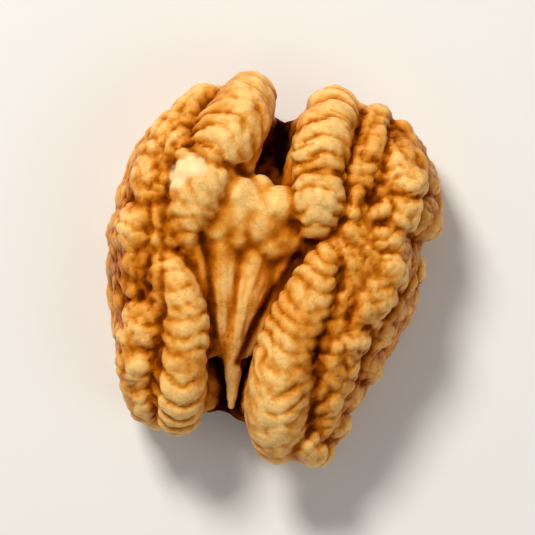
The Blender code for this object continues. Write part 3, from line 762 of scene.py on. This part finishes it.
def seed_coat_material():
    """Dried seed coat: a papery skin shrunk on to oily flesh.

    It is amber and satin, palest on a crest, partly from a painted highlight, and darkest and dull
    in a crease, partly from painted shade. Where it has rubbed off, the pale flesh shows.
    """
    made = bpy.data.materials.new("dried_seed_coat")
    made.use_nodes = True
    shader = made.node_tree.nodes["Principled BSDF"]
    links = made.node_tree.links

    place = add_node(made, "ShaderNodeTexCoord")
    depth = add_node(made, "ShaderNodeAttribute", attribute_name="tone_and_painted_light")
    bare = add_node(made, "ShaderNodeAttribute", attribute_name="bare")
    blotch = add_node(
        made, "ShaderNodeTexNoise", [("Vector", place, "Object")],
        scale=1 / (BLOTCH * MM), detail=5.0, roughness=0.62,
    )
    speck = add_node(
        made, "ShaderNodeTexNoise", [("Vector", place, "Object")],
        scale=1 / (SPECK * MM), detail=3.0, roughness=0.6,
    )

    # Thin veins that branch over the folds. Multiplying by the noise, which is near one half,
    # bends them and makes the patches between them about twice as wide as VEIN_CELL.
    bent = add_node(
        made, "ShaderNodeVectorMath", [(0, place, "Object"), (1, blotch, "Color")],
        operation="MULTIPLY",
    )
    vein = add_node(
        made, "ShaderNodeTexVoronoi", [("Vector", bent, "Vector")],
        feature="DISTANCE_TO_EDGE", scale=1 / (VEIN_CELL * MM),
    )
    veined = add_node(
        made, "ShaderNodeMapRange", [("Value", vein, "Distance")],
        from_max=0.07, to_min=0.8, to_max=1.0,
    )

    # The coat's colour: how deep the place lies in the folds, with blotches on top. The depth paints
    # shade into the creases and highlights on to the crests.
    mottled = add_node(
        made, "ShaderNodeMapRange", [("Value", blotch, "Fac")],
        from_min=0.25, from_max=0.75, to_min=-0.15, to_max=0.15,
    )
    total = add_node(
        made, "ShaderNodeMath", [(0, depth, "Fac"), (1, mottled, "Result")],
        operation="ADD", use_clamp=True,
    )
    coat = add_node(made, "ShaderNodeValToRGB", [("Fac", total, "Value")])
    # pale end: painted highlight on crests; dark end: painted shade in creases and notches
    set_ramp(coat, [
        (0.0, "#f9c97c"), (0.18, "#e59d3e"), (0.38, "#c87410"),
        (0.56, "#a35306"), (0.76, "#6e2f02"), (1.0, "#2e0d00"),
    ])
    grain = add_node(
        made, "ShaderNodeMapRange", [("Value", speck, "Fac")],
        from_min=0.3, from_max=0.7, to_min=0.92, to_max=1.05,
    )
    lined = add_node(
        made, "ShaderNodeMath", [(0, grain, "Result"), (1, veined, "Result")],
        operation="MULTIPLY",
    )
    shade = add_node(
        made, "ShaderNodeMix", [(6, coat, "Color"), (7, lined, "Value")],
        data_type="RGBA", blend_type="MULTIPLY", factor=1.0,
    )
    worn = add_node(made, "ShaderNodeMix", [(0, bare, "Fac"), (6, shade, 2)], data_type="RGBA")
    worn.inputs[7].default_value = linear("#f8d9a4")
    links.new(worn.outputs[2], shader.inputs["Base Color"])

    # Oil rises through the coat on the crests, and the creases stay dry and dull.
    sheen = add_node(
        made, "ShaderNodeMapRange", [("Value", total, "Value")],
        from_min=0.2, from_max=0.62, to_min=0.38, to_max=0.0,
    )
    links.new(sheen.outputs["Result"], shader.inputs["Specular IOR Level"])
    bump = add_node(
        made, "ShaderNodeBump", [("Height", speck, "Fac")], strength=0.25, distance=0.08 * MM,
    )
    links.new(bump.outputs["Normal"], shader.inputs["Normal"])
    shader.inputs["Roughness"].default_value = 0.4
    shader.inputs["IOR"].default_value = 1.46
    shader.inputs["Specular Tint"].default_value = linear("#ffe2b4")
    shader.inputs["Subsurface Weight"].default_value = 0.15
    shader.inputs["Subsurface Radius"].default_value = (1.0, 0.4, 0.12)
    shader.inputs["Subsurface Scale"].default_value = 0.8 * MM
    return made


def floor_material():
    """Matt white card: it throws soft light back up and shows nothing of its own."""
    made = bpy.data.materials.new("matt_white_card")
    made.use_nodes = True
    shader = made.node_tree.nodes["Principled BSDF"]
    shader.inputs["Base Color"].default_value = linear("#eceef0")
    shader.inputs["Roughness"].default_value = 0.9
    return made


# ---------------------------------------------------------------- stage
def add_floor():
    mesh = bmesh.new()
    bmesh.ops.create_grid(mesh, x_segments=1, y_segments=1, size=FLOOR_HALF)
    made = bpy.data.meshes.new("floor")
    mesh.to_mesh(made)
    mesh.free()
    floor = bpy.data.objects.new("floor", made)
    floor.location.z = (LOW[2] - FLOOR_GAP) * MM
    floor.data.materials.append(floor_material())
    bpy.context.scene.collection.objects.link(floor)


def add_area_light(name, place, size, power, colour):
    lamp = bpy.data.lights.new(name, "AREA")
    lamp.size = size
    lamp.energy = power
    lamp.color = colour
    made = bpy.data.objects.new(name, lamp)
    made.location = place
    made.rotation_euler = (-Vector(place)).to_track_quat("-Z", "Y").to_euler()
    bpy.context.scene.collection.objects.link(made)


def add_light_and_camera():
    world = bpy.data.worlds.new("soft_studio")
    bpy.context.scene.world = world
    world.use_nodes = True
    world.node_tree.nodes["Background"].inputs["Color"].default_value = (1.0, 0.97, 0.93, 1)
    world.node_tree.nodes["Background"].inputs["Strength"].default_value = 0.27
    add_area_light("key", (-0.17, 0.21, 0.32), 0.10, 1.6, (1.0, 0.93, 0.82))
    add_area_light("fill", (0.26, -0.10, 0.32), 0.25, 0.25, (1.0, 0.95, 0.88))

    camera = bpy.data.cameras.new("camera")
    camera.sensor_width = 36
    camera.lens = 340
    view = bpy.data.objects.new("camera", camera)
    view.location = (0, 0, 0.40)                        # straight above, looking down
    view.rotation_euler = (0, 0, math.radians(10.5))
    bpy.context.scene.collection.objects.link(view)
    bpy.context.scene.camera = view
    bpy.context.scene.view_settings.view_transform = "Standard"


kernel = kernel_piece()
kernel.data.materials.clear()
kernel.data.materials.append(seed_coat_material())
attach(kernel, "root")
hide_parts("kernel_half")
add_floor()
add_light_and_camera()
